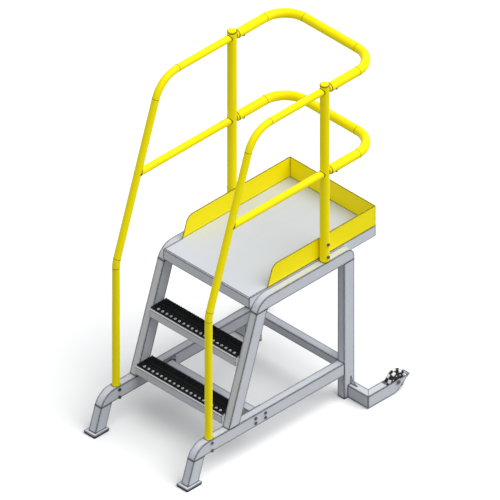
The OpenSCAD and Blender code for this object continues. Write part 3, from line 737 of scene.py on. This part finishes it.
def rail_rings(label, side):
    """Fine dark rings of painted shade where each bend of the rails begins and ends."""
    bm = bmesh.new()
    x = side * SIDE_X
    up_slope = (0, math.cos(SLOPE), math.sin(SLOPE))
    cos_s, sin_s = math.cos(SLOPE), math.sin(SLOPE)
    rings = [
        ((x, RAIL_Y, KNEE_Z - KNEE_RUN), (0, 0, 1), RAIL_R),
        ((x, RAIL_Y + KNEE_RUN * cos_s, KNEE_Z + KNEE_RUN * sin_s), up_slope, RAIL_R),
        ((x, CROWN_Y - CROWN_RUN * cos_s, RAIL_Z - CROWN_RUN * sin_s), up_slope, RAIL_R),
        ((x, CROWN_Y + CROWN_RUN, RAIL_Z), (0, 1, 0), RAIL_R),
        ((x, RAIL_Y, BASE_TOP + RAIL_SEAT), (0, 0, 1), RAIL_R),
        ((x, RAIL_POST_Y, POST_TOP - CAP_SEAM), (0, 0, 1), RAIL_POST_R),
    ]
    for z in (RAIL_Z, MID_Z):
        rings.append(((x, GUARD_Y - GUARD_R, z), (0, 1, 0), RAIL_POST_R))
        rings.append(((side * (SIDE_X - GUARD_R), GUARD_Y, z), (1, 0, 0), RAIL_POST_R))
    for centre, normal, radius in rings:
        sweep(bm, ring_points(at(*centre), normal, radius - SUNK), FINE_LINE, sides=6)
    piece("rail_rings_" + label, bm, RAIL_PAINTED_SHADE)


def post_caps():
    """Domed caps with a plug inside, in the tops of the rail posts."""
    bm = bmesh.new()
    profile = [(0, 0.4), (7, 0.3), (13, -0.1), (17.5, -0.8), (20.2, -1.7), (21.4, -2.8),
               (21.6, -3.8), (21.2, -4.7), (20.4, -5.0), (17.9, -5.0), (17.9, -17), (16.4, -17),
               (16.4, -6), (0, -6)]
    for side in SIDES.values():
        lathe(bm, at(side * SIDE_X, RAIL_POST_Y, POST_TOP), (0, 0, 1), profile)
    caps = piece("post_caps_domed", bm, FINISHES["rail_yellow"])
    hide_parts("post_caps")


def washers():
    """Washers under the heads of the beam bolts, the hand rail bolts and the axles."""
    bm = bmesh.new()
    radius = BOLT_WASHER_R
    profile = [(4.4, 0.1), (4.4, 1.6), (radius - 0.5, 1.6), (radius, 1.1), (radius, 0.1)]
    places = [(BEAM_Y + dy, BEAM_Z + dz) for dy in (-BEAM_BOLT_Y, BEAM_BOLT_Y)
              for dz in (-BEAM_BOLT_Z, BEAM_BOLT_Z)]
    places += [(RAIL_Y, z) for z in RAIL_BOLT_Z]
    for side in SIDES.values():
        for y, z in places:
            lathe(bm, at(side * OUTER_X, y, z), (side, 0, 0), profile, 32)
        lathe(bm, at(side * ARM_X, WHEEL_Y, WHEEL_Z), (side, 0, 0),
              [(8.2, 0.1), (8.2, 2), (14.4, 2), (15, 1.4), (15, 0.1)], 40)
    piece("washers", bm, WASHER_STEEL)


def tread_collars(label, level):
    """Pressed collars round the outer rows of holes of a tread; the front ones are pale, a
    painted highlight that stands in for the light seen through the holes.
    """
    low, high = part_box(label + "_tread")
    front, back = low.y / MM + MID_Y, high.y / MM + MID_Y
    count = int((high.x - low.x) / MM / HOLE_PITCH) - 1
    for name, y, shift, size, tube, rise, finish in (
            ("front", front + HOLE_IN, 0.25, (3.9, 5.8), 1.3, 1.4, PALE_STEEL_AND_PAINTED_HIGHLIGHT),
            ("rear", back - HOLE_IN, -0.25, (6.4, 6.4), 2.3, 5.0, FINISHES["tread_black"])):
        bm = bmesh.new()
        for i in range(count):
            x = (i - (count - 1) / 2 + shift) * HOLE_PITCH
            loop = [at(x + size[0] * math.cos(a), y + size[1] * math.sin(a), level - TOOTH + rise)
                    for a in (math.tau * k / 16 for k in range(16))]
            sweep(bm, loop, tube)
        piece("tread_collars_" + label + "_" + name, bm, finish)


def step_nosing(label):
    """A pale bead along the front edge of a step's frame, a painted highlight on its lit top
    edge, with a fine dark line of painted shade under it.
    """
    low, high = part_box(label + "_step_frame")
    ends = (low.x / MM + 1, high.x / MM - 1)
    front, top = low.y / MM + MID_Y, high.z / MM
    for name, z, radius, finish in (("bright", top, NOSING, PALE_STEEL_AND_PAINTED_HIGHLIGHT),
                                    ("line", top - NOSING_LINE, FINE_LINE, FRAME_PAINTED_SHADE)):
        bm = bmesh.new()
        sweep(bm, [at(x, front, z) for x in ends], radius, closed=False)
        piece("step_nosing_" + label + "_" + name, bm, finish)


def roller_ends(label, side):
    """Black caps on the ends of the wheel's rollers."""
    profile = [(6.2, 8.8), (7.3, 8.9), (6.7, 12), (6.1, 13.4), (2.2, 13.5)]
    bm = bmesh.new()
    low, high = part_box("wheel_hub_" + label)
    middle = (low + high) / 2
    for row in (0, 1):
        for i in range(ROLLERS):
            a = math.tau * (i + row / 2) / ROLLERS
            along = Vector((0, math.cos(a), math.sin(a)))
            out = Vector((side * (2 * row - 1) * ROW_X, -ROLLER_RING * math.sin(a),
                          ROLLER_RING * math.cos(a))) * MM
            for end in (-1, 1):
                lathe(bm, middle + out, along * end, profile, 20)
    piece("roller_ends_" + label, bm, FINISHES["black_plastic"],
          "wheel_" + label)


def hub_rivets(label):
    """Rivets round both faces of a wheel's hub."""
    bm = bmesh.new()
    low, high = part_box("wheel_hub_" + label)
    middle = (low + high) / 2
    for turn in (-1, 1):
        face = Vector((high.x if turn > 0 else low.x, middle.y, middle.z))
        for place in ring_points(face, (1, 0, 0), RIVET_RING, RIVETS, RIVET_START):
            lathe(bm, place, (turn, 0, 0), [(2.9, -0.5), (2.9, 0.1), (2, 0.9), (0, 1.2)], 16)
    piece("hub_rivets_" + label, bm, PALE_STEEL_AND_PAINTED_HIGHLIGHT, "wheel_" + label)


def rounded_corners(half_x, half_y, inset, radius):
    """Points round a rectangle drawn in by inset, with rounded corners."""
    out = []
    for sx, sy, start in ((1, 1, 0), (-1, 1, 90), (-1, -1, 180), (1, -1, 270)):
        cx, cy = sx * (half_x - inset - radius), sy * (half_y - inset - radius)
        for i in range(CORNER_STEPS + 1):
            a = math.radians(start + 90 * i / CORNER_STEPS)
            out.append((cx + radius * math.cos(a), cy + radius * math.sin(a)))
    return out


def foot_pad(label, side):
    """A moulded rubber pad with a lip, a groove round its edge and a chamfered sole."""
    bm = bmesh.new()
    levels = [(1.8, 0), (0.5, 0.9), (0, 2), (0, 3.2), (0.9, 3.7), (0.9, 4.6), (0, 5.1),
              (0, 7.2), (0.7, 8)]
    rings = []
    for inset, z in levels:
        rings.append([bm.verts.new(at(side * SIDE_X + x, y, z))
                      for x, y in rounded_corners(FOOT_HALF_X, FOOT_HALF_Y, inset, PAD_CORNER)])
    for a, b in zip(rings, rings[1:]):
        for k in range(len(a)):
            n = (k + 1) % len(a)
            bm.faces.new((a[k], a[n], b[n], b[k]))
    bm.faces.new(rings[0])
    bm.faces.new(rings[-1])
    pad = piece("foot_pad_moulded_" + label, bm, FINISHES["foot_rubber"])
    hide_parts("foot_pad_" + label)


for label, side in SIDES.items():
    frame_welds(label, side)
    arm_mitre(label, side)
    rail_welds(label, side)
    rail_rings(label, side)
    foot_pad(label, side)
    hub_rivets(label)
    roller_ends(label, side)
for label, level in STEP_LEVELS.items():
    tread_collars(label, level)
    step_nosing(label)
post_caps()
washers()
deck_lines()
